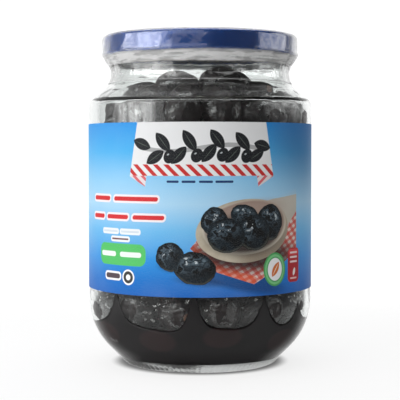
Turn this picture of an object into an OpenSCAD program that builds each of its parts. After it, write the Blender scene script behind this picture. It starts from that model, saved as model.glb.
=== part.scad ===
// A glass jar of olives: the jar, its twist-off cap, a clear shrink seal over the cap and
// neck, a paper label, a heap of olives and the dark brine that has gathered under them.
// The origin is the middle of the foot, and +Z points up.

/* [Jar] */
// Height of the glass, from its foot to its sealing lip
jar_h = 141.9; // [120:0.1:190]
// Outer diameter of the straight wall
body_d = 97.3; // [92:0.1:130]
// Thickness of the glass wall
glass_t = 2.6; // [1.5:0.1:3.5]
// Height at which the heel's curve meets the straight wall
heel_h = 28; // [24:0.5:32]
// Radius of the heel's curve
heel_r = 29; // [22:0.5:34]
// Slope of the heel's lower cone, from upright
heel_slope = 45; // [35:1:52]
// Width of the flat ring that the jar stands on
foot_w = 2.4; // [1:0.1:5]
// Size of the small slope on each side of that ring
foot_edge = 0.5; // [0.2:0.1:1]
// Height of the hollow under the foot
punt_h = 2.4; // [1:0.1:3.5]
// Height of the floor's edge above the surface that the jar stands on
floor_t = 5; // [4:0.1:8]
// Height of the floor's middle above its edge
floor_rise = 1.4; // [0:0.1:3]
// Distance from the sealing lip down to the start of the shoulder
shoulder_drop = 29.9; // [26:0.1:40]
// Radius of the shoulder's outer corner
shoulder_r = 4; // [3.6:0.1:8]

/* [Neck] */
// Outer diameter of the neck at its waist
neck_d = 77.4; // [64:0.1:80]
// Distance from the sealing lip down to the waist
waist_drop = 15.4; // [14:0.1:19]
// Radius of the hollow curve between the shoulder and the waist
neck_curve_r = 9.8; // [5:0.1:11]
// How far the bead below the cap stands out
bead_out = 1.2; // [0.6:0.1:1.5]
// Distance from the sealing lip down to the bead
bead_drop = 11.1; // [11:0.1:11.6]
// How far the neck under the cap stands out from the waist
finish_out = 0.9; // [0.4:0.1:1.1]
// Slope at the sealing lip's edges
lip_edge = 0.9; // [0.3:0.1:1]
// Width of the sealing lip's flat top
lip_w = 1.6; // [1:0.1:1.8]
// Number of short threads
thread_count = 6; // [4:1:8]
// Length of each thread, as an angle
thread_arc = 34; // [15:1:40]
// How far the threads stand out
thread_out = 1.2; // [0.8:0.1:1.3]
// Height of a thread
thread_h = 1.4; // [0.8:0.1:1.8]
// Distance from the sealing lip down to the threads' lower edge
thread_drop = 6.5; // [5:0.1:6.8]

/* [Cap] */
// Gap between the threads and the cap's skirt
cap_gap = 0.7; // [0.5:0.1:2]
// Thickness of the cap's sheet metal
cap_t = 0.4; // [0.3:0.05:0.6]
// How far the cap reaches down from the sealing lip
skirt_h = 8.6; // [8.5:0.1:9.2]
// Radius of the rolled edge
curl_r = 0.8; // [0.6:0.05:0.9]
// How far the rolled edge stands out from the skirt
curl_out = 0.4; // [0.2:0.05:0.6]
// Radius of the cap's rounded top edge
cap_edge_r = 1.7; // [1:0.1:2.5]
// Distance from the skirt in to the panel
rim_w = 7.4; // [6:0.1:10]
// Depth of the panel below the raised ring
panel_drop = 0.9; // [0.4:0.1:1.5]
// Width of the slopes around the panel and around the button
step_w = 1.2; // [0.6:0.1:2]
// Diameter of the safety button
button_d = 24; // [15:0.5:35]
// Height of the safety button
button_h = 0.5; // [0.2:0.1:0.8]
// Length of each lug that turns in under a thread, as an angle
lug_arc = 9; // [6:0.5:14]
// How far each lug turns in
lug_in = 0.7; // [0.4:0.05:0.8]

/* [Seal] */
// Thickness of the shrink film
film_t = 0.15; // [0.1:0.05:0.3]
// Gap between the film and the cap's rolled edge
film_gap = 0.45; // [0.3:0.05:1]
// Gap between the film and the neck, and between it and the cap's top
film_ease = 0.1; // [0.05:0.05:0.3]
// How far the film folds in over the cap's top
film_lap = 5; // [3:0.1:6]
// Distance that the film runs along the neck above the waist
film_hold = 1.6; // [0.5:0.1:2]
// Distance that the film runs down past the waist
film_tail = 5; // [1:0.1:6]

/* [Label] */
// Height of the label
label_h = 70.6; // [50:0.1:72]
// Height of the label's lower edge
label_z = 33.5; // [33:0.1:37]
// Thickness of the paper
label_t = 0.2; // [0.1:0.05:0.4]
// Gap between the paper and the glass
label_ease = 0.05; // [0.05:0.05:0.3]

/* [Contents] */
// Length of an olive
olive_l = 22.5; // [18:0.1:28]
// Width of an olive
olive_w = 17.5; // [14:0.1:21]
// How much the olives vary in size, as a share
olive_vary = 0.08; // [0:0.01:0.15]
// Height of the brine's surface
brine_z = 20; // [11:0.1:24]
// Distance from the sealing lip down to the top of the heap
headspace = 14; // [13:0.1:30]
// Gap between the contents and the glass
fill_gap = 0.3; // [0.1:0.05:0.6]
// Which arrangement of the heap is built
heap_seed = 7; // [1:1:99]

/* [Hidden] */
$fn = 96;

body_r = body_d / 2;
neck_r = neck_d / 2;
bore_r = neck_r - glass_t;
waist_z = jar_h - waist_drop;
shoulder_z = jar_h - shoulder_drop;

heel_x = body_r - heel_r;
foot_r = heel_x + heel_r * cos(heel_slope) - (heel_h - heel_r * sin(heel_slope)) * tan(heel_slope);
foot_inner_r = foot_r - foot_edge - foot_w;

bead_z = jar_h - bead_drop;
finish_r = neck_r + finish_out;
lip_out_r = finish_r - lip_edge;
thread_z = jar_h - thread_drop;
thread_r = finish_r + thread_out;
thread_slope = 0.3;

skirt_r = thread_r + cap_gap + cap_t;
cap_top = jar_h + cap_t;
curl_x = skirt_r + curl_out - curl_r;
curl_z = jar_h - skirt_h + curl_r;
panel_r = skirt_r - rim_w;
panel_top = cap_top - panel_drop;
lug_h = 1.2 * curl_r;

film_r = skirt_r + curl_out + film_gap + film_t;
film_top = cap_top + film_ease + film_t;
film_edge_r = cap_edge_r + film_ease + film_t;

function reverse(points) = [for (i = [len(points) - 1 : -1 : 0]) points[i]];

function arc(x, z, r, from, to, steps = 10) =
    [for (i = [0 : steps]) let (a = from + (to - from) * i / steps) [x + r * cos(a), z + r * sin(a)]];

// A shallow dome from its edge in to the axis
function dome(r, z, rise, steps = 6) =
    [for (i = [0 : steps]) let (s = i / steps) [r * (1 - s), z + rise * s * (2 - s)]];

// The shoulder's corner and the neck's hollow curve are joined by one slope, tangent to both
shoulder_x = body_r - shoulder_r;
curve_x = neck_r + neck_curve_r;
join_run = [curve_x - shoulder_x, waist_z - shoulder_z];
join_a = atan2(join_run[1], join_run[0]) - acos((shoulder_r + neck_curve_r) / norm(join_run));

// The glass from the heel up to the waist, at a depth in from its outer face
function glass_face(depth) = concat(
    arc(heel_x, heel_h, heel_r - depth, -heel_slope, 0),
    arc(shoulder_x, shoulder_z, shoulder_r - depth, 0, join_a, 5),
    arc(curve_x, waist_z, neck_curve_r + depth, 180 + join_a, 180, 8)
);

inner_face = glass_face(glass_t);
floor_edge_r = inner_face[0][0] - (inner_face[0][1] - floor_t) * tan(heel_slope);

jar_outline = concat(
    reverse(dome(foot_inner_r - foot_edge, foot_edge, punt_h - foot_edge)),
    [[foot_inner_r, 0], [foot_r - foot_edge, 0], [foot_r + foot_edge * tan(heel_slope), foot_edge]],
    glass_face(0),
    [[neck_r, bead_z - bead_out]],
    arc(neck_r, bead_z, bead_out, -60, 30, 5),
    [[finish_r, bead_z + bead_out], [finish_r, jar_h - lip_edge], [lip_out_r, jar_h]],
    [[lip_out_r - lip_w, jar_h], [bore_r, jar_h - lip_edge]],
    reverse(inner_face),
    dome(floor_edge_r, floor_t, floor_rise)
);

module thread() {
    rotate_extrude(angle = thread_arc) polygon([
        [finish_r - thread_slope, thread_z],
        [thread_r, thread_z + thread_slope],
        [thread_r, thread_z + thread_h - thread_slope],
        [finish_r - thread_slope, thread_z + thread_h]
    ]);
}

module jar() {
    color([0.87, 0.9, 0.89, 0.35]) union() {
        rotate_extrude() polygon(jar_outline);
        for (i = [0 : thread_count - 1]) rotate(i * 360 / thread_count) thread();
    }
}

// The cap's sheet metal, at a depth in from its outer face
function cap_face(depth) = concat(
    [[0, panel_top + button_h - depth], [button_d / 2, panel_top + button_h - depth]],
    [[button_d / 2 + step_w, panel_top - depth], [panel_r, panel_top - depth]],
    [[panel_r + step_w, cap_top - depth]],
    arc(skirt_r - cap_edge_r, cap_top - cap_edge_r, cap_edge_r - depth, 90, 0, 6),
    [[skirt_r - depth, curl_z]]
);

module lug() {
    rotate_extrude(angle = lug_arc) polygon([
        [curl_x, curl_z - lug_h / 2],
        [curl_x - curl_r - lug_in, curl_z - lug_h / 4],
        [curl_x - curl_r - lug_in, curl_z + lug_h / 4],
        [curl_x, curl_z + lug_h / 2]
    ]);
}

module lid() {
    color([0.13, 0.26, 0.6]) union() {
        rotate_extrude() polygon(concat(cap_face(0), reverse(cap_face(cap_t))));
        rotate_extrude() translate([curl_x, curl_z]) circle(curl_r);
        for (i = [0 : thread_count - 1])
            rotate(i * 360 / thread_count + (thread_arc - lug_arc) / 2) lug();
    }
}

// The film, at a depth in from its outer face: over the cap's edge, down its side, across
// to the neck and along the neck's hollow curve
function film_face(depth) = concat(
    [[skirt_r - film_lap, film_top - depth]],
    arc(film_r - film_edge_r, film_top - film_edge_r, film_edge_r - depth, 90, 0, 6),
    [[film_r - depth, curl_z], [neck_r + film_ease + film_t - depth, waist_z + film_hold]],
    arc(curve_x, waist_z, neck_curve_r - film_ease - film_t + depth,
        180, 180 + asin(film_tail / neck_curve_r), 6)
);

module seal() {
    color([0.95, 0.96, 0.97, 0.3])
        rotate_extrude() polygon(concat(film_face(0), reverse(film_face(film_t))));
}

module label() {
    color([0.24, 0.55, 0.88]) translate([0, 0, label_z]) difference() {
        cylinder(h = label_h, r = body_r + label_ease + label_t);
        translate([0, 0, -1]) cylinder(h = label_h + 2, r = body_r + label_ease);
    }
}

// Radius of the space inside the glass at a height
function inside_r(z) = lookup(z, concat(
    [[floor_t, floor_edge_r]], [for (p = inner_face) [p[1], p[0]]], [[jar_h, bore_r]]
)) - fill_gap;

// An olive is [centre, direction of its long axis, half its length, half its width]
function olive(row, i, ring_r, a, z, lean) =
    let (size = 1 + olive_vary * rands(-1, 1, 1, heap_seed + 100 * row + i)[0])
    [
        [ring_r * cos(a), ring_r * sin(a), z],
        [-sin(a) * cos(lean), cos(a) * cos(lean), sin(lean)],
        size * olive_l / 2,
        size * olive_w / 2
    ];

// A ring of olives, each lying against the one beside it
function olive_ring(row, ring_r, z) =
    let (
        count = floor(2 * PI * ring_r / (0.86 * olive_l)),
        drift = rands(-0.2, 0.2, count, heap_seed + row),
        leans = rands(-80, 80, count, 2 * heap_seed + row),
        rise = rands(-0.28, 0.28, count, 3 * heap_seed + row)
    )
    [for (i = [0 : count - 1])
        olive(row, i, ring_r, 360 * (i + row / 2 + drift[i]) / count, z + rise[i] * olive_w, leans[i])];

row_pitch = 0.93 * olive_w;
row_first_z = brine_z + 0.4 * olive_w;
row_last_z = shoulder_z - 0.35 * olive_w;
row_count = floor((row_last_z - row_first_z) / row_pitch) + 1;
heap_top = jar_h - headspace;
crown_z = heap_top - 0.62 * olive_w;
heap = concat(
    [for (row = [0 : row_count - 1])
        let (z = row_first_z + row * (row_last_z - row_first_z) / (row_count - 1))
        each olive_ring(row, inside_r(z) - olive_w / 2, z)],
    olive_ring(row_count, 0.42 * bore_r, crown_z),
    olive_ring(row_count + 1, 0.62 * bore_r, crown_z - 0.5 * olive_w)
);

// How far a ray from a point leaves an olive, or 0 if it misses it
function leave(o, from, ray) =
    let (
        away = from - o[0],
        stretch = 1 / pow(o[2], 2) - 1 / pow(o[3], 2),
        a = 1 / pow(o[3], 2) + stretch * pow(ray * o[1], 2),
        b = away * ray / pow(o[3], 2) + stretch * (away * o[1]) * (ray * o[1]),
        c = away * away / pow(o[3], 2) + stretch * pow(away * o[1], 2) - 1,
        found = b * b - a * c
    )
    found < 0 ? 0 : (sqrt(found) - b) / a;

function reach(group, from, ray, least) = max(concat([least], [for (o = group) leave(o, from, ray)]));

// The heap is one closed skin, wrapped over the outermost olives: level rings up to the
// crown, then rings that close over the top
sides = 60;
level_count = 27;
crown_count = 9;
fork_z = crown_z - 0.1 * olive_w;

module olives() {
    level_rings = [for (k = [0 : level_count])
        let (
            z = brine_z + (fork_z - brine_z) * k / level_count,
            room = inside_r(z),
            group = [for (o = heap) if (abs(o[0][2] - z) < 0.6 * olive_l) o]
        )
        [for (i = [0 : sides - 1])
            let (
                a = 360 * i / sides,
                least = max(min(room - 0.6 * olive_w, fork_z - z + 0.4 * bore_r), 1),
                r = min(room, reach(group, [0, 0, z], [cos(a), sin(a), 0], least))
            )
            [r * cos(a), r * sin(a), z]]];
    crown = [for (o = heap) if (o[0][2] > fork_z - olive_l) o];
    crown_rings = [for (k = [1 : crown_count])
        let (up = 90 * k / (crown_count + 1))
        [for (i = [0 : sides - 1])
            let (
                a = 360 * i / sides,
                ray = [cos(a) * cos(up), sin(a) * cos(up), sin(up)],
                far = reach(crown, [0, 0, fork_z], ray, 0.4 * olive_w),
                r = min(bore_r - fill_gap, far * cos(up))
            )
            [r * cos(a), r * sin(a), min(fork_z + far * sin(up), heap_top)]]];
    rings = concat(level_rings, crown_rings);
    tip = [0, 0, fork_z + reach(crown, [0, 0, fork_z], [0, 0, 1], 0.4 * olive_w)];
    last = len(rings) - 1;
    color([0.1, 0.09, 0.1]) polyhedron(
        points = concat([for (ring = rings) each ring], [tip]),
        faces = concat(
            [[for (i = [0 : sides - 1]) i]],
            [for (k = [0 : last - 1], i = [0 : sides - 1])
                let (j = (i + 1) % sides, low = k * sides, high = low + sides)
                each [[low + i, high + i, high + j], [low + i, high + j, low + j]]],
            [for (i = [0 : sides - 1])
                let (j = (i + 1) % sides, low = last * sides)
                [low + i, low + sides, low + j]]
        )
    );
}

// The pool of brine fills the glass from its floor up to the heap's underside
module brine() {
    below = [for (p = inner_face) if (p[1] < brine_z) [p[0] - fill_gap, p[1]]];
    color([0.07, 0.05, 0.05]) rotate_extrude() polygon(concat(
        reverse(dome(floor_edge_r - fill_gap, floor_t + fill_gap, floor_rise)),
        below,
        [[inside_r(brine_z), brine_z], [0, brine_z]]
    ));
}

jar();
lid();
seal();
label();
olives();
brine();
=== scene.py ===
import math
from functools import partialmethod

import bpy
import numpy as np
from mathutils import Matrix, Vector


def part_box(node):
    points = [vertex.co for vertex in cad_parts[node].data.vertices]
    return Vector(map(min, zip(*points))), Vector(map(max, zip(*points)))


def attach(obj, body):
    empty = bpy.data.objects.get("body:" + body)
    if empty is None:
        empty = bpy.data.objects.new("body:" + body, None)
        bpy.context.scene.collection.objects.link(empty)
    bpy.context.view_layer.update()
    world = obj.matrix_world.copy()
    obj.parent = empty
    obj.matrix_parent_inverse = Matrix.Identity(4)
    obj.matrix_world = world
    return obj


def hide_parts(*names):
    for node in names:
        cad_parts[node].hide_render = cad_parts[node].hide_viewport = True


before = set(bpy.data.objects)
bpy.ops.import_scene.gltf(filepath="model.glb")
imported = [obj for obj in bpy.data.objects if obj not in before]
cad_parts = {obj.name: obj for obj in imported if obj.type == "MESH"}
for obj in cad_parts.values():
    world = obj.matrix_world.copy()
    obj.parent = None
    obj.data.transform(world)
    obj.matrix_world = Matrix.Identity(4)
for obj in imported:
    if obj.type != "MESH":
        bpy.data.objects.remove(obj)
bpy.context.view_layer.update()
mm = 0.001
print("frame loaded")


# the focal length counts in the same units as the picture's width
view = {"distance": 0.5235, "height": 0.0918, "pitchDown": 0.04, "focal": 1186.6, "width": 400, "sensor": 36}


def addCamera():
    data = bpy.data.cameras.new("camera")
    data.sensor_width = view["sensor"]
    data.lens = view["focal"] / view["width"] * view["sensor"]
    camera = bpy.data.objects.new("camera", data)
    camera.location = (0, -view["distance"], view["height"])
    camera.rotation_euler = (math.pi / 2 - view["pitchDown"], 0, 0)
    bpy.context.scene.collection.objects.link(camera)
    bpy.context.scene.camera = camera


class Wire:  # a socket that takes part in sums, each operator adding its Math node
    def __init__(self, bench, socket):
        self.bench = bench
        self.socket = socket

    def maths(self, operation, *others, swap=False):
        parts = [self, *others]
        if swap:
            parts.reverse()
        sockets = dict(enumerate(parts))
        return self.bench.wire("ShaderNodeMath", {"operation": operation}, sockets)

    __add__ = __radd__ = partialmethod(maths, "ADD")
    __sub__ = partialmethod(maths, "SUBTRACT")
    __rsub__ = partialmethod(maths, "SUBTRACT", swap=True)
    __mul__ = __rmul__ = partialmethod(maths, "MULTIPLY")
    __truediv__ = partialmethod(maths, "DIVIDE")
    __pow__ = partialmethod(maths, "POWER")
    __abs__ = partialmethod(maths, "ABSOLUTE")
    __neg__ = partialmethod(maths, "MULTIPLY", -1)
    high = partialmethod(maths, "MAXIMUM")
    low = partialmethod(maths, "MINIMUM")

    def ramp(self, low, high):  # 0 below low, 1 above high, smooth between
        settings = {"interpolation_type": "SMOOTHSTEP"}
        return self.bench.wire("ShaderNodeMapRange", settings, {0: self, 1: low, 2: high, 3: 0.0, 4: 1.0})


def linear(red, green, blue):  # a colour given as it looks on a screen, 0 to 255
    shares = [value / 255 for value in (red, green, blue)]
    return [s / 12.92 if s <= 0.04045 else ((s + 0.055) / 1.055) ** 2.4 for s in shares] + [1.0]


class Tree:  # a node tree, whichever kind it is
    def __init__(self, tree):
        self.tree = tree

    def node(self, kind, settings=None, sockets=None):
        made = self.tree.nodes.new(kind)
        for key, value in (settings or {}).items():
            if key == "stops":
                self.setStops(made, value)
            else:
                setattr(made, key, value)
        for key, value in (sockets or {}).items():
            if isinstance(value, Wire):
                self.tree.links.new(value.socket, made.inputs[key])
            else:
                made.inputs[key].default_value = value
        return made

    def setStops(self, made, stops):
        points = made.color_ramp.elements
        while len(points) < len(stops):
            points.new(0.5)
        for point, (place, colour) in zip(points, stops):
            point.position = place
            point.color = colour

    def wire(self, kind, settings=None, sockets=None, output=0):
        return Wire(self, self.node(kind, settings, sockets).outputs[output])

    def wires(self, node, count):  # a node's first outputs
        return [Wire(self, node.outputs[i]) for i in range(count)]

    def split(self, vector, count=3):
        return self.wires(self.node("ShaderNodeSeparateXYZ", {}, {0: vector}), count)

    def vector(self, operation, first, second=(0, 0, 0), output=0):
        return self.wire("ShaderNodeVectorMath", {"operation": operation}, {0: first, 1: second}, output)

    def mix(self, share, first, second):
        return self.wire("ShaderNodeMix", {"data_type": "RGBA"}, {0: share, 6: first, 7: second}, output=2)

    def noise(self, place, scale, detail=2.0, rough=0.5):
        sockets = {"Vector": place, "Scale": scale, "Detail": detail, "Roughness": rough}
        return self.wire("ShaderNodeTexNoise", {}, sockets)

    def named(self, name, kind):
        return self.wire("GeometryNodeInputNamedAttribute", {"data_type": kind}, {"Name": name})

    def step(self, kind, geometry, settings=None, **sockets):  # one more node on the geometry's way
        return self.wire("GeometryNode" + kind, settings, {"Geometry": geometry, **sockets})


def newGroup(name, kind, inputs, output):  # an empty node group, with its inputs as wires
    group = bpy.data.node_groups.new(name, kind)
    for label, sort in inputs.items():
        group.interface.new_socket(label, in_out="INPUT", socket_type="NodeSocket" + sort)
    group.interface.new_socket(output[0], in_out="OUTPUT", socket_type="NodeSocket" + output[1])
    tree = Tree(group)
    return tree, tree.wires(tree.node("NodeGroupInput"), len(inputs))


class Bench(Tree):  # one material, or the world
    def __init__(self, name, kind="materials"):
        self.material = getattr(bpy.data, kind).new(name)
        self.material.use_nodes = True
        super().__init__(self.material.node_tree)
        self.tree.nodes.clear()

    def objectPlace(self):
        return self.wire("ShaderNodeTexCoord", output="Object")

    def attribute(self, name):
        return self.wire("ShaderNodeAttribute", {"attribute_name": name}, output="Fac")

    def bump(self, height, distance, strength=1.0, normal=None):
        sockets = {"Height": height, "Distance": distance, "Strength": strength}
        if normal is not None:
            sockets["Normal"] = normal
        return self.wire("ShaderNodeBump", {}, sockets)

    def finish(self, shader):
        self.node("ShaderNodeOutputMaterial", {}, {"Surface": shader})
        return self.material

    def principled(self, **sockets):
        named = {key.replace("_", " "): value for key, value in sockets.items()}
        return self.wire("ShaderNodeBsdfPrincipled", {}, named)

    def surface(self, **sockets):  # a material of one shader
        return self.finish(self.principled(**sockets))


# brightness of the room on each side, how much darker it is below, and the backdrop's own
studio = {
    "front": 0.09, "left": 0.42, "right": 0.13, "behind": 1.06, "above": 0.36, "below": 0.5, "seen": 1.1,
}
lamps = {  # place, aim, size, power, and the rays that don't see the lamp
    "windowGlow": ((-0.95, -0.32, 0.30), (0, 0, 0.10), (1.15, 0.62), 7.2, "diffuse"),
    "windowLeft": ((-0.80, -0.55, 0.45), (0, 0, 0.08), (0.8, 0.8), 4.6, "glossy"),
    "frontFill": ((-0.45, -1.2, 0.7), (0, 0, 0.08), (1.2, 0.9), 4.6, "glossy"),
    "rightGlow": ((0.85, 0.08, 0.34), (0, 0, 0.10), (0.9, 0.5), 2.2, "diffuse"),
    "glint": ((0.16, -1.2, 0.36), (0, 0, 0.13), (0.30, 0.14), 0.16, "diffuse"),
    "top": ((0, 0.15, 0.9), (0, 0, 0.1), (0.9, 0.9), 5.5, "glossy"),
}


def softenEdges(data):  # the panel's glow fades out towards its rim and is a little uneven
    data.use_nodes = True
    tree = Tree(data.node_tree)
    spot = tree.wire("ShaderNodeNewGeometry", output="Parametric")
    x, y = (abs(share - 0.5) * 2 for share in tree.split(spot, 2))
    glow = (1 - x.ramp(0.72, 1.0)) * (1 - y.ramp(0.6, 1.0))
    glow = glow * (0.5 + tree.noise(spot, 7.0).ramp(0.36, 0.62))
    tree.tree.links.new(glow.socket, data.node_tree.nodes["Emission"].inputs["Strength"])


def addPanelLight(name, place, aim, size, power, hiddenFrom):
    data = bpy.data.lights.new(name, "AREA")
    data.shape = "RECTANGLE"
    data.size, data.size_y = size
    data.energy = power
    lamp = bpy.data.objects.new(name, data)
    lamp.location = place
    east, north, up = np.array(aim) - np.array(place)
    tilt = math.atan2(math.hypot(east, north), -up)
    lamp.rotation_euler = (tilt, 0, math.atan2(north, east) - math.pi / 2)
    if hiddenFrom == "diffuse":
        softenEdges(data)
    setattr(lamp, "visible_" + hiddenFrom, False)
    bpy.context.scene.collection.objects.link(lamp)


def makeWorld():  # bright behind the jar, brighter on the left than on the right, dim behind the camera
    bench = Bench("studio", "worlds")
    right, back, up = bench.split(bench.wire("ShaderNodeTexCoord"))
    glow = studio["front"] + (-right).ramp(0.1, 0.9) * (studio["left"] - studio["front"])
    glow = glow + right.ramp(0.1, 0.9) * (studio["right"] - studio["front"])
    glow = glow + back.ramp(0.5, 0.9) * (studio["behind"] - glow)
    glow = glow + up.ramp(0.3, 0.9) * ((0.9 - right * 1.6).high(0.15) * studio["above"] - glow)
    glow = glow * (1 - (-up).ramp(0.1, 0.5) * studio["below"])
    seen = bench.wire("ShaderNodeLightPath", output="Is Camera Ray")
    glow = glow + seen * (studio["seen"] - glow)
    background = bench.wire("ShaderNodeBackground", {}, {"Color": (1, 1, 1, 1), "Strength": glow})
    bench.node("ShaderNodeOutputWorld", {}, {"Surface": background})
    bpy.context.scene.world = bench.material


addCamera()
makeWorld()
for lampName, lampValues in lamps.items():
    addPanelLight(lampName, *lampValues)
bpy.context.scene.view_settings.view_transform = "Standard"


# sizes in mm
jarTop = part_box("jar")[1].z / mm
lidBottom, lidTop = (corner.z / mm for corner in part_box("lid"))
sealRadius, _, sealTop = (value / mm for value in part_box("seal")[1])
labelBottom, labelTop = (corner.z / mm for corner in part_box("label"))
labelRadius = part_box("label")[1].x / mm
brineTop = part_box("brine")[1].z / mm
glass = {
    "height": jarTop, "bodyRadius": labelRadius - 0.25, "wall": 2.6,
    "heelHeight": 28.0, "heelRadius": 29.0, "heelSlope": math.radians(45),
    "footWidth": 2.4, "footEdge": 0.5, "puntHeight": 2.4, "floor": 5.0, "floorRise": 1.4,
    "shoulderDrop": 29.9, "shoulderRadius": 4.0,
    "neckRadius": 38.7, "waistDrop": 15.4, "neckCurve": 9.8,
    "beadOut": 1.2, "beadDrop": 11.1, "finishOut": 0.9, "lipEdge": 0.9, "lipWidth": 1.6,
    "threads": 6, "threadArc": 34, "threadOut": 1.1, "threadDrop": 5.8, "threadFall": 1.4,
    "turns": 540, "ripple": 0.12, "knurls": 90, "knurlOut": 0.28, "seamOut": 0.07, "seamWidth": 0.45,
    # small marks of the mould on the heel: turn from the front in degrees, and height
    "dots": ((-66, 14.6), (-57, 12.9), (-54.5, 12.7), (-52, 12.8), (126, 12.8), (130, 12.6)),
}


def arc(x, z, radius, start, end, steps):
    turn = np.linspace(start, end, steps + 1)
    return np.stack([x + radius * np.cos(turn), z + radius * np.sin(turn)], 1)


def dome(radius, z, rise, steps):
    share = np.linspace(0, 1, steps + 1)
    return np.stack([radius * (1 - share), z + rise * share * (2 - share)], 1)


def glassFace(depth):  # the wall from the heel up to the waist, at a depth in from its outer face
    g = glass
    shoulder = np.array([g["bodyRadius"] - g["shoulderRadius"], g["height"] - g["shoulderDrop"]])
    curve = np.array([g["neckRadius"] + g["neckCurve"], g["height"] - g["waistDrop"]])
    run = curve - shoulder
    reach = (g["shoulderRadius"] + g["neckCurve"]) / np.hypot(*run)
    slope = math.atan2(run[1], run[0]) - math.acos(reach)
    heelX = g["bodyRadius"] - g["heelRadius"]
    heel = arc(heelX, g["heelHeight"], g["heelRadius"] - depth, -g["heelSlope"], 0, 18)
    heights = np.linspace(g["heelHeight"] + 4, shoulder[1] - 2, 16)
    wall = np.array([[g["bodyRadius"] - depth, z] for z in heights])
    corner = arc(*shoulder, g["shoulderRadius"] - depth, 0, slope, 8)
    neck = arc(*curve, g["neckCurve"] + depth, math.pi + slope, math.pi, 12)
    return np.concatenate([heel, wall, corner, neck])


outerFace = glassFace(0)
innerFace = glassFace(glass["wall"])
boreRadius = glass["neckRadius"] - glass["wall"]
floorEdge = innerFace[0, 0] - (innerFace[0, 1] - glass["floor"]) * math.tan(glass["heelSlope"])
footRadius = outerFace[0, 0] - outerFace[0, 1] * math.tan(glass["heelSlope"])


def insideRadius(z):
    heights = np.concatenate([[glass["floor"]], innerFace[:, 1], [glass["height"]]])
    radii = np.concatenate([[floorEdge], innerFace[:, 0], [boreRadius]])
    return np.interp(z, heights, radii)


def makePiece(name, points, faces, material, sharp=None):
    mesh = bpy.data.meshes.new(name)
    mesh.from_pydata((np.asarray(points, float) * mm).tolist(), [], faces)
    mesh.shade_smooth()
    if sharp is not None:
        mesh.set_sharp_from_angle(angle=math.radians(sharp))
    mesh.materials.append(material)
    piece = bpy.data.objects.new(name, mesh)
    bpy.context.scene.collection.objects.link(piece)
    return piece


def placePiece(piece, node):
    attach(piece, "root")
    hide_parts(node)


def directions(turns):  # of a turned piece's columns, starting at the front
    return np.arange(turns) * 2 * math.pi / turns - math.pi / 2


def spun(rings, turn):  # the points of profiles that stand in those directions
    radius, z = rings[..., 0], rings[..., 1]
    return np.stack([radius * np.cos(turn), radius * np.sin(turn), z], -1).reshape(-1, 3)


def lathe(rings, turns):  # turns a closed profile, or one with both ends on the axis, into points and faces
    rings = np.asarray(rings, float)
    if rings.ndim == 2:
        rings = np.repeat(rings[:, None, :], turns, 1)
    turn = directions(turns)
    onAxis = rings[:, :, 0].max(1) < 1e-6
    points, starts = [], []
    for ring, pole in zip(rings, onAxis):
        starts.append(len(points))
        points.extend(spun(ring, turn)[:1 if pole else turns])
    closed = not (onAxis[0] and onAxis[-1])
    faces = []
    for k in range(len(rings) - (0 if closed else 1)):
        n = (k + 1) % len(rings)
        for i in range(turns):
            j = (i + 1) % turns
            low = [starts[k]] if onAxis[k] else [starts[k] + i, starts[k] + j]
            high = [starts[n]] if onAxis[n] else [starts[n] + j, starts[n] + i]
            faces.append(low + high)
    return np.array(points), faces


def waves(points, seed, count, finest, coarsest):  # smooth noise between -1 and 1, summed from plane waves
    draw = np.random.default_rng(seed)
    total = np.zeros(len(points))
    weight = 0.0
    for _ in range(count):
        direction = draw.normal(size=3)
        length = math.exp(draw.uniform(math.log(finest), math.log(coarsest)))
        direction *= 2 * math.pi / length / np.linalg.norm(direction)
        total += length * np.sin(points @ direction + draw.uniform(0, 2 * math.pi))
        weight += length * length
    return total / math.sqrt(weight)


def onHeel(turn, z):  # a point on the outer face of the heel, in metres
    heel = outerFace[outerFace[:, 1] <= glass["heelHeight"] + 1]
    radius = np.interp(z, heel[:, 1], heel[:, 0]) * mm
    return radius * math.sin(math.radians(turn)), -radius * math.cos(math.radians(turn)), z * mm


def glassMaterial():
    bench = Bench("clearGlass")
    place = bench.objectPlace()
    normal = bench.bump(bench.noise(place, 45.0, 3.0), 0.0006, 0.35)
    marks = 0.0
    for turn, z in glass["dots"]:
        far = bench.vector("DISTANCE", place, onHeel(turn, z), output=1)
        marks = (1 - far.ramp(0.0002, 0.0008)).high(marks)
    normal = bench.bump(marks, 0.0006, 1.0, normal)
    colour = bench.mix(marks, linear(247, 250, 249), linear(60, 60, 60))
    return bench.surface(
        Base_Color=colour, Roughness=0.02, IOR=1.5, Transmission_Weight=1.0, Normal=normal
    )


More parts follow.
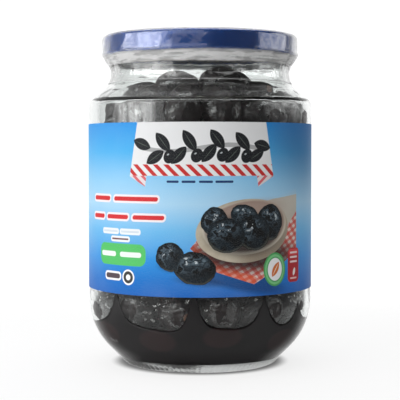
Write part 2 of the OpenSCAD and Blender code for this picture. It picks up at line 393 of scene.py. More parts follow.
def makeGlass():
    g = glass
    lip = g["height"]
    inner = footRadius - g["footEdge"] - g["footWidth"]
    beadZ = lip - g["beadDrop"]
    finishRadius = g["neckRadius"] + g["finishOut"]
    lipRadius = finishRadius - g["lipEdge"]
    under = dome(inner - g["footEdge"], g["footEdge"], g["puntHeight"] - g["footEdge"], 10)[::-1]
    foot = [
        [inner, 0], [inner + 0.8, 0], [footRadius - 1.2, 0], [footRadius - g["footEdge"], 0],
        [footRadius + 0.3, 0.35], *[[footRadius + rise, rise] for rise in (1.2, 2.4, 3.6)],
    ]
    bead = arc(g["neckRadius"], beadZ, g["beadOut"], math.radians(-60), math.radians(30), 8)
    top = [
        [finishRadius, beadZ + g["beadOut"]],
        *[[finishRadius, lip - drop] for drop in np.arange(8.0, 3.6, -0.4)],
        [finishRadius, lip - g["lipEdge"]], [lipRadius, lip], [lipRadius - g["lipWidth"], lip],
        [boreRadius, lip - g["lipEdge"]], [boreRadius, lip - 8],
    ]
    outer = np.concatenate([under, foot, outerFace, [[g["neckRadius"], beadZ - g["beadOut"]]], bead, top])
    profile = np.concatenate([outer, innerFace[::-1], dome(floorEdge, g["floor"], g["floorRise"], 10)])
    rings = np.repeat(profile[:, None, :], g["turns"], 1)
    turn = directions(g["turns"])
    radius, z = profile.T
    isOuter = np.arange(len(profile)) < len(outer)
    # the inner face ripples a little
    uneven = waves(spun(rings, turn), 5, 14, 14, 60).reshape(rings.shape[:2])
    free = ~isOuter & (z > 6) & (z < lip - 12)
    rings[:, :, 0] += free[:, None] * uneven * g["ripple"]
    # knurls round the foot
    share = np.clip(1 - abs(z - 1.4) / 1.6, 0, 1) * (radius > footRadius - 0.6) * isOuter
    rings[:, :, 0] += share[:, None] * np.sin(turn * g["knurls"]) * g["knurlOut"]
    # short threads that the cap's lugs turn on, each sloping down along its run
    along = (turn % (2 * math.pi / g["threads"])) / math.radians(g["threadArc"])
    lift = np.clip(np.minimum(along, 1 - along) * 6, 0, 1)
    threadZ = lip - g["threadDrop"] - (along - 0.5) * g["threadFall"]
    ridge = np.clip(1.25 - abs(z[:, None] - threadZ) / 0.8, 0, 1) * lift * g["threadOut"]
    rings[:, :, 0] += ridge * ((radius > g["neckRadius"] + 0.5) & isOuter)[:, None]
    # the mould's two seams, which stay clear of the label
    across = np.minimum(abs(turn), abs(abs(turn) - math.pi)) * g["bodyRadius"]
    seam = np.exp(-(across / g["seamWidth"]) ** 2) * g["seamOut"]
    bare = (z > labelTop + 1) | (z < labelBottom - 1)
    rings[:, :, 0] += (isOuter & (z > 3) & (z < lip - 14) & bare)[:, None] * seam
    points, faces = lathe(rings, g["turns"])
    piece = makePiece("glassJar", points, faces, glassMaterial(), sharp=50)
    placePiece(piece, "jar")


makeGlass()
print("glass made")


fruit = {
    "length": 22.5, "width": 17.5, "vary": 0.08, "seed": 11, "soft": 0.6, "steps": 240,
    "rows": 7, "perRow": 14, "rowLow": 27.0, "rowHigh": 104.0, "rowRadius": 36.8,
    "coreRadius": 33.0, "coreTop": 109.0, "heapTop": 118.5,
    "fineDetail": 5, "plainDetail": 4, "dent": 0.55, "crease": 0.32,
    "drift": 0.18, "lift": 3.0, "wallGap": 8.6, "neckCount": 8, "neckRing": 25.0, "neckZ": 109.5,
    # how the heap settles: share of each push, fall in each step, least gap to the glass, pull outwards
    "push": 0.22, "fall": 0.03, "clear": 0.35, "spread": 0.06, "lieAlong": 0.75, "endShare": 0.78,
}
# olives whose place shows through the neck: centre, long axis, length and width
settled = [
    ((10.5, -19.0, 119.2), (1.0, 0.1, -0.12), 22.5, 17.6),
    ((-9.3, -19.5, 117.6), (0.85, 0.2, 0.25), 19.0, 17.0),
    ((22.2, -16.4, 112.6), (0.65, -0.60, 0.47), 21.0, 16.4),
    ((-24.5, -19.0, 112.0), (0.6, 0.5, 0.5), 21.0, 16.0),
]


def firstPlaces(draw):  # level rings against the glass, then a ring and a few more in the neck
    f = fruit
    places = [place for place, *_ in settled]
    for k in range(f["rows"]):
        z = f["rowLow"] + (f["rowHigh"] - f["rowLow"]) * k / (f["rows"] - 1)
        for i in range(f["perRow"]):
            turn = (i + k / 2 + draw.uniform(-f["drift"], f["drift"])) / f["perRow"] * 2 * math.pi
            radius = min(f["rowRadius"], insideRadius(z) - f["wallGap"])
            if k == f["rows"] - 1 and math.cos(turn) < -0.8:
                continue  # the left of the top row is bare
            x, y = radius * math.cos(turn), radius * math.sin(turn)
            places.append((x, y, z + draw.uniform(-f["lift"], f["lift"])))
    for i in range(f["neckCount"]):
        turn = math.radians(-20 + 30 * i)
        x, y = f["neckRing"] * math.cos(turn), f["neckRing"] * math.sin(turn)
        places.append((x, y, f["neckZ"] + draw.uniform(-1.0, 0.5)))
    for x, y in ((-5, 2), (11, 4), (1, -12)):
        places.append((x, y, 108.5))
    return np.array(places, float)


def settleOlives():
    f = fruit
    draw = np.random.default_rng(f["seed"])
    centre = firstPlaces(draw)
    count = len(centre)
    half = np.stack([
        f["length"] / 2 * (1 + f["vary"] * draw.uniform(-1, 1, count)),
        f["width"] / 2 * (1 + f["vary"] * draw.uniform(-1, 1, count)),
    ], 1)
    axis = draw.normal(size=(count, 3))
    outward = centre * [1, 1, 0] / np.linalg.norm(centre[:, :2], axis=1)[:, None]
    axis -= f["lieAlong"] * (axis * outward).sum(1)[:, None] * outward  # most lie along the glass
    held = len(settled)
    for i, (_, direction, length, width) in enumerate(settled):
        axis[i] = direction
        half[i] = [length / 2, width / 2]
    axis /= np.linalg.norm(axis, axis=1)[:, None]
    fixedCentre, fixedAxis = centre[:held].copy(), axis[:held].copy()
    ends = f["endShare"] * half[:, 1]
    offset = half[:, 0] - ends
    shift = np.stack([-offset, np.zeros(count), offset], 1)
    size = np.stack([ends, half[:, 1], ends], 1).reshape(-1)
    owner = np.repeat(np.arange(count), 3)
    other = owner[:, None] != owner[None, :]
    wallZ = np.concatenate([innerFace[:, 1], [glass["height"]]])
    wallR = np.concatenate([innerFace[:, 0], [boreRadius]])
    wallN = np.stack([-np.gradient(wallZ), np.gradient(wallR)], 1)
    wallN /= np.linalg.norm(wallN, axis=1)[:, None]
    for _ in range(f["steps"]):
        balls = (centre[:, None, :] + shift[:, :, None] * axis[:, None, :]).reshape(-1, 3)
        balls[:, 2] -= f["fall"]
        apart = balls[:, None, :] - balls[None, :, :]
        far = np.sqrt((apart ** 2).sum(2)) + 1e-9
        push = np.clip((size[:, None] + size[None, :] - f["soft"] - far) * other, 0, None)
        balls += (apart / far[:, :, None] * (push * f["push"])[:, :, None]).sum(1)
        radial = np.hypot(balls[:, 0], balls[:, 1]) + 1e-9
        # the nearest stretch of the glass pushes a ball back inside
        away = np.stack([radial[:, None] - wallR, balls[:, 2][:, None] - wallZ], 2)
        room = (away * wallN).sum(2)
        near = (away ** 2).sum(2).argmin(1)
        back = np.clip(size - f["clear"] - room[np.arange(len(balls)), near], 0, None)
        move = wallN[near] * back[:, None]
        balls[:, 2] += move[:, 1]
        newRadial = np.maximum(radial + move[:, 0], 4)
        spare = np.clip(insideRadius(balls[:, 2]) - size - newRadial, 0, 4)
        newRadial = np.where(balls[:, 2] < f["rowHigh"] + 2, newRadial + f["spread"] * spare, newRadial)
        balls[:, :2] *= (newRadial / radial)[:, None]
        balls[:, 2] = np.clip(balls[:, 2], brineTop - 3 + size, f["heapTop"] - size)
        three = balls.reshape(-1, 3, 3)
        centre = three.mean(1)
        axis = three[:, 2] - three[:, 0]
        axis /= np.linalg.norm(axis, axis=1)[:, None]
        centre[:held], axis[:held] = fixedCentre, fixedAxis
    return centre, axis, half, draw


def oliveTree(material):  # one wrinkled olive on each point, turned and sized by the point's attributes
    inputs = {"Points": "Geometry", "Detail": "Int", "Dent": "Float", "Crease": "Float"}
    tree, given = newGroup("oliveHeap", "GeometryNodeTree", inputs, ("Olives", "Geometry"))
    points, detail, dent, crease = given
    ball = tree.wire("GeometryNodeMeshIcoSphere", {}, {"Radius": 1.0, "Subdivisions": detail})
    place = tree.wire("GeometryNodeInputPosition")
    ball = tree.step("StoreNamedAttribute", ball, {"data_type": "FLOAT_VECTOR"}, Name="own", Value=place)
    along = tree.split(place)[0]
    girth = 1 - along * 0.09 - along * along * 0.06
    stretch = tree.wire("ShaderNodeCombineXYZ", {}, {0: 1.0, 1: girth, 2: girth})
    ball = tree.step("SetPosition", ball, Position=tree.vector("MULTIPLY", place, stretch))
    turn = tree.wire("FunctionNodeEulerToRotation", {}, {0: tree.named("turn", "FLOAT_VECTOR")})
    size = tree.named("size", "FLOAT_VECTOR")
    sockets = {"Points": points, "Instance": ball, "Rotation": turn, "Scale": size}
    heap = tree.step("RealizeInstances", tree.wire("GeometryNodeInstanceOnPoints", {}, sockets))
    # dents, creases and the pit at the stem's end, from each olive's own place and tone
    own = tree.named("own", "FLOAT_VECTOR")
    spot = tree.vector("MULTIPLY", own, (0.55, 1, 1))
    spot = tree.vector("ADD", spot, tree.named("tone", "FLOAT") * 53)
    broad = tree.noise(spot, 1.5, 1.0) - 0.5
    ridge = (1 - abs(tree.noise(spot, 2.6, 1.5) - 0.5) * 7).high(0)
    tip = tree.split(own)[0]
    lift = broad * dent * 2 - ridge * ridge * crease - tip.ramp(0.965, 0.995) * crease * 2.8
    normal = tree.wire("GeometryNodeInputNormal")
    sockets = {0: normal, "Scale": lift * mm}
    offset = tree.wire("ShaderNodeVectorMath", {"operation": "SCALE"}, sockets)
    heap = tree.step("SetPosition", heap, Offset=offset)
    heap = tree.step("StoreNamedAttribute", heap, {"data_type": "FLOAT"}, Name="tip", Value=tip)
    heap = tree.step("SetMaterial", tree.step("SetShadeSmooth", heap), Material=material)
    tree.node("NodeGroupOutput", {}, {0: heap})
    return tree.tree


def oliveMaterial():
    bench = Bench("oliveSkin")
    place = bench.objectPlace()
    tone = bench.attribute("tone")
    tip = bench.attribute("tip")
    blotch = bench.noise(place, 210.0, 3.0, 0.6).ramp(0.42, 0.72)
    colour = bench.mix(tone, linear(16, 13, 15), linear(34, 24, 25))
    colour = bench.mix(blotch * 0.6, colour, linear(42, 29, 28))
    colour = bench.mix(tip.ramp(0.962, 0.985), colour, linear(134, 88, 62))
    normal = bench.bump(bench.noise(place, 330.0, 2.0, 0.45), 0.0011, 0.5)
    normal = bench.bump(bench.noise(place, 900.0), 0.0001, 0.15, normal)
    wet = bench.noise(place, 330.0, 3.0, 0.6).ramp(0.52, 0.57)
    rough = 0.34 + blotch * 0.16 - wet * 0.1
    return bench.surface(
        Base_Color=colour, Roughness=rough, Normal=normal, Specular_IOR_Level=0.4,
        Coat_Weight=wet, Coat_Roughness=0.04,
    )


def scatter(name, group, centre, frames, sizes, tone, inputs):  # the group's shape at each centre
    mesh = bpy.data.meshes.new(name + "Points")
    mesh.from_pydata((centre * mm).tolist(), [], [])
    turns = [Matrix(rows).transposed().to_euler() for rows in frames]
    for label, values in (("turn", turns), ("size", sizes * mm), ("tone", tone)):
        kind, field = ("FLOAT", "value") if label == "tone" else ("FLOAT_VECTOR", "vector")
        layer = mesh.attributes.new(label, kind, "POINT")
        layer.data.foreach_set(field, np.array(values, np.float32).ravel())
    holder = bpy.data.objects.new(name + "Points", mesh)
    bpy.context.scene.collection.objects.link(holder)
    modifier = holder.modifiers.new("heap", "NODES")
    modifier.node_group = group
    identifiers = {item.name: item.identifier for item in group.interface.items_tree}
    for label, value in inputs.items():
        modifier[identifiers[label]] = value
    shown = holder.evaluated_get(bpy.context.evaluated_depsgraph_get())
    made = bpy.data.meshes.new_from_object(shown)
    bpy.data.objects.remove(holder)
    points = np.empty(len(made.vertices) * 3, np.float32)
    made.vertices.foreach_get("co", points)
    points = points.reshape(-1, 3).astype(float) / mm
    radial = np.hypot(points[:, 0], points[:, 1])
    limit = insideRadius(points[:, 2]) + 0.08  # what presses on the glass is flat there
    points[:, :2] *= np.minimum(1, limit / np.maximum(radial, 1e-6))[:, None]
    made.vertices.foreach_set("co", (points * mm).astype(np.float32).ravel())
    made.name = name
    piece = bpy.data.objects.new(name, made)
    bpy.context.scene.collection.objects.link(piece)
    print(name, len(centre), "items,", len(made.polygons), "triangles")
    return piece


def makeOlives():
    centre, axis, half, draw = settleOlives()
    group = oliveTree(oliveMaterial())
    across = np.cross(axis, [0.0, 0.31, 1.0])
    across /= np.linalg.norm(across, axis=1)[:, None]
    spin = draw.uniform(0, 2 * math.pi, len(centre))[:, None]
    side = across * np.cos(spin) + np.cross(axis, across) * np.sin(spin)
    tone = draw.uniform(0, 1, len(centre))
    heights = centre[:, 2]
    sorts = {
        "olivesTop": (heights > 106, fruit["fineDetail"]),
        "olivesShoulder": ((heights > 92) & (heights <= 106), fruit["fineDetail"]),
        "olivesMiddle": ((heights >= 48) & (heights <= 92), fruit["plainDetail"]),
        "olivesLower": (heights < 48, fruit["fineDetail"]),
    }
    for name, (chosen, detail) in sorts.items():
        sizes = np.stack([half[chosen, 0], half[chosen, 1], half[chosen, 1]], 1)
        frames = np.stack([axis[chosen], side[chosen], np.cross(axis[chosen], side[chosen])], 1)
        inputs = {"Detail": detail, "Dent": fruit["dent"], "Crease": fruit["crease"]}
        piece = scatter(name, group, centre[chosen], frames, sizes, tone[chosen], inputs)
        placePiece(piece, "olives")


# beads of brine: the heights and the count of each band, and their sizes
drops = {"seed": 19, "bands": ((22.5, 33.5, 420), (112.0, 127.0, 110)), "smallest": 0.22, "largest": 0.75}


def dropMaterial():
    bench = Bench("brineDrops")
    normal = bench.bump(bench.noise(bench.objectPlace(), 900.0, 1.0), 0.0001, 0.3)
    return bench.surface(
        Base_Color=linear(244, 242, 240), Roughness=0.02, IOR=1.36, Transmission_Weight=1.0, Normal=normal
    )


def makeDrops():  # brine left in beads on the inside of the glass, above the brine and in the neck
    draw = np.random.default_rng(drops["seed"])
    centre, sizes = [], []
    for low, high, count in drops["bands"]:
        for _ in range(count):
            turn, z = draw.uniform(-math.pi, math.pi), draw.uniform(low, high)
            size = drops["smallest"] + (drops["largest"] - drops["smallest"]) * draw.uniform() ** 3
            radius = insideRadius(z) - size * 0.25
            centre.append([radius * math.sin(turn), -radius * math.cos(turn), z])
            sizes.append([size, size, size * 0.8])
    centre, sizes = np.array(centre), np.array(sizes)
    frames = np.repeat(np.eye(3)[None], len(centre), 0)
    inputs = {"Detail": 2, "Dent": 0.0, "Crease": 0.0}
    tone = draw.uniform(0, 1, len(centre))
    piece = scatter("brineDrops", oliveTree(dropMaterial()), centre, frames, sizes, tone, inputs)
    placePiece(piece, "brine")


def makeCore():
    bench = Bench("heapCore")
    colour = bench.mix(bench.noise(bench.objectPlace(), 120.0, 3.0), linear(10, 8, 9), linear(26, 18, 18))
    material = bench.surface(Base_Color=colour, Roughness=0.4)
    bottom, top, radius = brineTop - 6, fruit["coreTop"], fruit["coreRadius"]
    profile = [[0, bottom]]
    profile += [[radius, z] for z in np.linspace(bottom, top - 10, 20)]
    profile += [[radius - 3, top - 6], [radius - 9, top - 2], [0, top]]
    points, faces = lathe(profile, 96)
    bulge = waves(points, 31, 12, 12, 22)
    radial = np.hypot(points[:, 0], points[:, 1])
    points[:, :2] *= (1 + 0.07 * bulge * (radial > 1))[:, None]
    piece = makePiece("heapCore", points, faces, material)
    placePiece(piece, "olives")


makeOlives()
makeCore()
makeDrops()
print("olives made")


pool = {
    "level": brineTop, "film": 1.6, "turns": 360, "into": 0.34, "sag": 0.8,
    # where it climbs between two olives: turn from the front, height, and width in degrees
    "climbs": (
        (-47, 15, 5), (-3, 20, 3), (34, 14, 4), (60, 10, 5), (96, 12, 5), (140, 15, 4),
        (178, 11, 6), (-140, 14, 4), (-95, 10, 5),
    ),
    # olives that press on the glass below its surface: turn from the front, and height
    "sunk": (
        (-24, 15.5), (12, 17.5), (52, 14.5), (88, 17), (122, 15.5), (158, 17), (-160, 15),
        (-126, 17), (-92, 15.5), (-60, 17),
    ),
}


def brineMaterial():
    bench = Bench("brine")
    place = bench.objectPlace()
    x, y, z = bench.split(place)
    colour = bench.mix(bench.noise(place, 60.0), linear(28, 20, 23), linear(16, 12, 15))
    olive = 0.0
    for turn, height in pool["sunk"]:
        radius = (insideRadius(height) - 3.0) * mm
        angle = math.radians(turn)
        middle = (radius * math.sin(angle), -radius * math.cos(angle), height * mm)
        away = bench.vector("MULTIPLY", bench.vector("SUBTRACT", place, middle), (1, 1, 1.7))
        olive = (1 - bench.vector("LENGTH", away, output=1).ramp(0.0070, 0.0096)).high(olive)
    colour = bench.mix(olive * 0.75, colour, linear(52, 33, 34))
    # painted light: the underside is painted bright in broken patches, so that it shows through the foot as a
    # broken bright line
    under = (1 - z.ramp(0.0064, 0.0068)) * (1 - (x * x + y * y).ramp(0.0331 ** 2, 0.0337 ** 2))
    glint = bench.noise(place, 45.0, 3.0, 0.6).ramp(0.4, 0.56)
    colour = bench.mix(under, colour, bench.mix(glint, linear(60, 56, 55), linear(255, 255, 255)))
    return bench.surface(Base_Color=colour, Roughness=0.3, IOR=1.37)


def makeBrine():
    turn = np.degrees(np.arange(pool["turns"]) * 2 * math.pi / pool["turns"])
    turn = (turn + 180) % 360 - 180
    edge = np.full(pool["turns"], pool["level"])
    for place, rise, width in pool["climbs"]:
        away = (turn - place + 180) % 360 - 180
        edge += rise * np.exp(-abs(away) / width)
    edge += 0.6 * np.sin(np.radians(turn * 5)) + 0.4 * np.sin(np.radians(turn * 11 + 40))
    rings = []
    floor = dome(floorEdge, glass["floor"] - pool["into"], glass["floorRise"], 8)[::-1]
    for r, z in floor:
        rings.append(np.tile([r, z], (pool["turns"], 1)))
    for share in np.linspace(0, 1, 16)[1:]:
        z = glass["floor"] + (edge - glass["floor"]) * share
        rings.append(np.stack([insideRadius(z) + pool["into"], z], 1))
    top = rings[-1]
    for inwards, drop in ((0.5, 0.3), (1.0, 0.8), (1.6, 1.6)):
        z = top[:, 1] - drop - (top[:, 1] - pool["level"]) * (inwards / pool["film"]) * 0.3
        rings.append(np.stack([top[:, 0] - inwards, z], 1))
    rim = rings[-1]
    for share in (0.5, 1.0):
        z = rim[:, 1] + (pool["level"] - pool["sag"] - rim[:, 1]) * share
        rings.append(np.stack([insideRadius(z) - 2.4 - share, z], 1))
    for r in (36, 24, 12):
        rings.append(np.tile([r, pool["level"] - pool["sag"]], (pool["turns"], 1)))
    rings.append(np.tile([0, pool["level"] - pool["sag"]], (pool["turns"], 1)))
    points, faces = lathe(np.array(rings), pool["turns"])
    piece = makePiece("brinePool", points, faces, brineMaterial())
    placePiece(piece, "brine")


makeBrine()
print("brine made")


cap = {
    "skirt": 41.9, "top": lidTop, "sheet": 0.4, "curl": 0.8, "curlOut": 0.4,
    "edge": 1.7, "rim": 7.4, "panelDrop": 0.9, "step": 1.2, "button": 12.0, "buttonRise": 0.6,
    "turns": 288,
}
curlZ = lidBottom + cap["curl"]


def capMaterial():
    bench = Bench("blueEnamel")
    place = bench.objectPlace()
    colour = bench.mix(bench.noise(place, 25.0), linear(0, 56, 134), linear(8, 72, 152))
    colour = bench.mix(bench.attribute("lining"), colour, linear(206, 202, 190))
    normal = bench.bump(bench.noise(place, 800.0, 1.0), 0.00004, 0.3)
    return bench.surface(
        Base_Color=colour, Metallic=0.2, Roughness=0.22, Normal=normal, Coat_Weight=0.4, Coat_Roughness=0.06
    )


def capFace(depth):  # from the button out over the rim and down the skirt
    c = cap
    panelTop = c["top"] - c["panelDrop"]
    panelEdge = c["skirt"] - c["rim"]
    half = c["step"] * 0.5
    inward = np.array([
        [0, panelTop + c["buttonRise"]], [c["button"] - 1.5, panelTop + c["buttonRise"]],
        [c["button"], panelTop + c["buttonRise"] * 0.85], [c["button"] + half, panelTop + 0.2],
        [c["button"] + c["step"], panelTop], [panelEdge - 1.2, panelTop], [panelEdge, panelTop],
        [panelEdge + half, (panelTop + c["top"]) / 2], [panelEdge + c["step"], c["top"] - 0.04],
        [panelEdge + c["step"] + 0.8, c["top"]],
    ])
    edge = arc(c["skirt"] - c["edge"], c["top"] - c["edge"], c["edge"] - depth, math.pi / 2, 0, 10)
    side = [[c["skirt"] - depth, z] for z in np.linspace(c["top"] - c["edge"] - 1, curlZ, 6)]
    return np.concatenate([inward - [0, depth], edge, side])


def makeCap():
    c = cap
    curlX = c["skirt"] + c["curlOut"] - c["curl"]
    curl = arc(curlX, curlZ, c["curl"], math.radians(55), math.radians(-235), 16)
    profile = np.concatenate([capFace(0)[:-1], curl, capFace(c["sheet"])[::-1][1:]])
    points, faces = lathe(profile[::-1], c["turns"])
    piece = makePiece("capShell", points, faces, capMaterial(), sharp=60)
    lining = np.zeros(len(points), np.float32)
    lining[:1 + c["turns"] * (len(capFace(0)) - 3)] = 1  # the inner face comes first in the turned profile
    piece.data.attributes.new("lining", "FLOAT", "POINT").data.foreach_set("value", lining)
    placePiece(piece, "lid")


makeCap()
print("cap made")


paper = {"thick": 0.2, "turns": 360, "rows": 8, "soft": 0.11}
# the blue field from the bottom edge up: height from the base, then its colour
blueField = [
    (33.5, (2, 96, 184)), (40, (4, 114, 200)), (48, (36, 144, 222)), (60, (112, 190, 240)),
    (71, (174, 219, 248)), (80, (148, 209, 247)), (92, (66, 180, 243)), (104.1, (8, 150, 234)),
]
# olives printed on the label: centre across and up, half width, half height, turn
spoonOlives = [
    (6.2, 63.8, 5.6, 5.9, 20), (30.4, 63.2, 6.9, 7.3, -25), (18.4, 66.0, 6.2, 4.7, -10),
    (22.9, 59.4, 7.2, 7.2, 10), (10.6, 58.4, 7.8, 6.9, -5),
]
looseOlives = [(-12.4, 49.8, 5.8, 5.7, 30), (-2.2, 45.1, 8.5, 6.4, -8)]


def ovalMask(across, up, x, z, halfWidth, halfHeight, cosine, sine, soft):
    dx, dz = across - x, up - z
    a = (dx * cosine + dz * sine) / halfWidth
    b = (dz * cosine - dx * sine) / halfHeight
    far = ((a * a + b * b) ** 0.5 - 1) * halfWidth.low(halfHeight)
    return 1 - far.ramp(-soft, soft)


def boxMask(across, up, x, z, width, height, corner, lean, soft):
    right = (abs(across - x - (up - z) * lean) - (width / 2 - corner)).high(0)
    over = (abs(up - z) - (height / 2 - corner)).high(0)
    far = (right * right + over * over) ** 0.5 - corner
    return 1 - far.ramp(-soft, soft)


def leafMask(across, up, x, z, bow, width, cosine, sine, soft):
    dx, dz = across - x, up - z
    a = dx * cosine + dz * sine
    b = abs(dz * cosine - dx * sine) + (bow - width / 2)
    far = (a * a + b * b) ** 0.5 - bow
    return 1 - far.ramp(-soft, soft)


def furtherSide(across, up, far, nx, nz, start):
    return far.high(across * nx + up * nz - start)


def makeMask(name, labels, build):  # a mask as a node group, so that the label's own tree stays small
    inputs = dict.fromkeys(labels.split(), "Float")
    tree, given = newGroup(name, "ShaderNodeTree", inputs, ("Mask", "Float"))
    tree.node("NodeGroupOutput", {}, {0: build(*given)})
    return tree.tree


shapes = {
    "oval": makeMask("oval", "Across Up X Z HalfWidth HalfHeight Cosine Sine Soft", ovalMask),
    "box": makeMask("box", "Across Up X Z Width Height Corner Lean Soft", boxMask),
    "leaf": makeMask("leaf", "Across Up X Z Bow Width Cosine Sine Soft", leafMask),
    "side": makeMask("side", "Across Up Far NormalX NormalZ Start", furtherSide),
}


class Print:  # shapes drawn over each other in the label's own millimetres
    def __init__(self, tree, across, up, soft, colour=None):
        self.tree = tree
        self.across = across
        self.up = up
        self.soft = soft
        self.colour = colour

    def stamp(self, shape, *values):
        sockets = dict(enumerate((self.across, self.up, *values)))
        return self.tree.wire("ShaderNodeGroup", {"node_tree": shapes[shape]}, sockets)

    def cover(self, distance):  # 1 inside a shape, 0 outside it
        return 1 - distance.ramp(-self.soft, self.soft)

    def lay(self, mask, colour):  # a colour from the tree, or one given as it looks on a screen
        ink = colour if isinstance(colour, Wire) else linear(*colour)
        self.colour = self.tree.mix(mask, self.colour, ink)

    def box(self, x, z, width, height, corner=0.0, lean=0.0):
        return self.stamp("box", x, z, width, height, corner, lean, self.soft)

    def oval(self, x, z, halfWidth, halfHeight, turn=0.0, soft=None):
        angle = math.radians(turn)
        turned = (math.cos(angle), math.sin(angle))
        return self.stamp("oval", x, z, halfWidth, halfHeight, *turned, soft or self.soft)

    def leaf(self, x, z, length, width, turn):
        bow = (length * length / 4 + width * width / 4) / width
        angle = math.radians(turn)
        return self.stamp("leaf", x, z, bow, width, math.cos(angle), math.sin(angle), self.soft)

    def polygon(self, *corners):
        middle = np.mean(corners, 0)
        far = -100.0
        for (x0, z0), (x1, z1) in zip(corners, corners[1:] + corners[:1]):
            nx, nz = z1 - z0, x0 - x1
            size = math.hypot(nx, nz)
            if (middle[0] - x0) * nx + (middle[1] - z0) * nz > 0:
                size = -size
            nx, nz = nx / size, nz / size
            far = self.stamp("side", far, nx, nz, x0 * nx + z0 * nz)
        return self.cover(far)

    def stripes(self, value, pitch, share, edge=0.05):
        turn = (value / pitch).maths("FRACT")
        return turn.ramp(0, edge) * (1 - turn.ramp(share, share + edge))

    def olive(self, x, z, halfWidth, halfHeight, turn):
        angle = math.radians(turn)
        values = (self.colour, x, z, halfWidth, halfHeight, math.cos(angle), math.sin(angle))
        self.colour = self.stamp("olive", *values)

    def textBar(self, start, end, z, height, colour, outline=None, lean=0.0):
        x, width = (start + end) / 2, end - start
        if outline is not None:
            self.lay(self.box(x, z, width + 1.5, height + 1.7, height / 2 + 0.6, lean), outline)
        self.lay(self.box(x, z, width, height, height / 2 - 0.05, lean), colour)

    def textBlock(self, left, right, top, rows, pitch, height, colour):  # rows of broken bars
        row = ((top - self.up) / pitch).maths("FLOOR")
        inRow = abs(((top - self.up) / pitch).maths("FRACT") - 0.5)
        line = self.cover((inRow - height / pitch / 2) * pitch)
        ragged = right - (row * 2.7).maths("SINE").ramp(-1, 1) * (right - left) * 0.25
        reach = self.cover(self.across - ragged) * self.cover(left - self.across)
        words = 1 - self.stripes(self.across + row * 5.3 + (self.across * 0.31).maths("SINE") * 2, 7.1, 0.1)
        inside = self.box((left + right) / 2, top - rows * pitch / 2, right - left, rows * pitch)
        self.lay(line * reach * words * inside, colour)


def makePrintedOlive(soft):  # a dark olive with its creases and sheens, laid over the colour under it
    inputs = dict.fromkeys("Across Up Under X Z HalfWidth HalfHeight Cosine Sine".split(), "Float")
    inputs["Under"] = "Color"
    tree, given = newGroup("printedOlive", "ShaderNodeTree", inputs, ("Colour", "Color"))
    across, up, under, x, z, width, height, cosine, sine = given
    ink = Print(tree, across, up, soft, under)
    dx, dz = across - x, up - z
    a, b = (dx * cosine + dz * sine) / width, (dz * cosine - dx * sine) / height
    own = tree.wire("ShaderNodeCombineXYZ", {}, {0: a, 1: b, 2: x * 0.37})
    far = (a * a + b * b) ** 0.5 + (tree.noise(own, 1.1) - 0.5) * 0.34
    body = ink.cover((far - 1.02) * width.low(height))
    folds = tree.noise(own, 1.7, 2.0, 0.55)
    ink.lay(body, tree.mix(folds.ramp(0.35, 0.7), linear(9, 12, 14), linear(26, 38, 46)))
    lit = body * (1 - far.ramp(0.72, 0.94))
    crease = (1 - abs(folds - 0.5) * 16).high(0)
    ink.lay(lit * crease * (b * 0.8 - a * 0.5).ramp(-0.5, 0.5) * 0.55, (104, 124, 138))
    ink.lay(lit * folds.ramp(0.56, 0.72) * b.ramp(-0.1, 0.5) * 0.6, (120, 140, 152))
    rim = far.ramp(0.84, 0.96) * (1 - far.ramp(0.96, 1.02)) * (-b).ramp(0.0, 0.8)
    ink.lay(body * rim * 0.35, (104, 104, 92))
    window = 1 - ((a + 0.15) ** 2 * 2.6 + (b - 0.42) ** 2 * 9).ramp(0.3, 1.0)
    gleam = tree.noise(own, 3.4, 2.0, 0.6).ramp(0.58, 0.66) * window
    ink.lay(lit * gleam * 0.85, (214, 222, 226))
    tree.node("NodeGroupOutput", {}, {0: ink.colour})
    return tree.tree


shapes["olive"] = makePrintedOlive(paper["soft"])


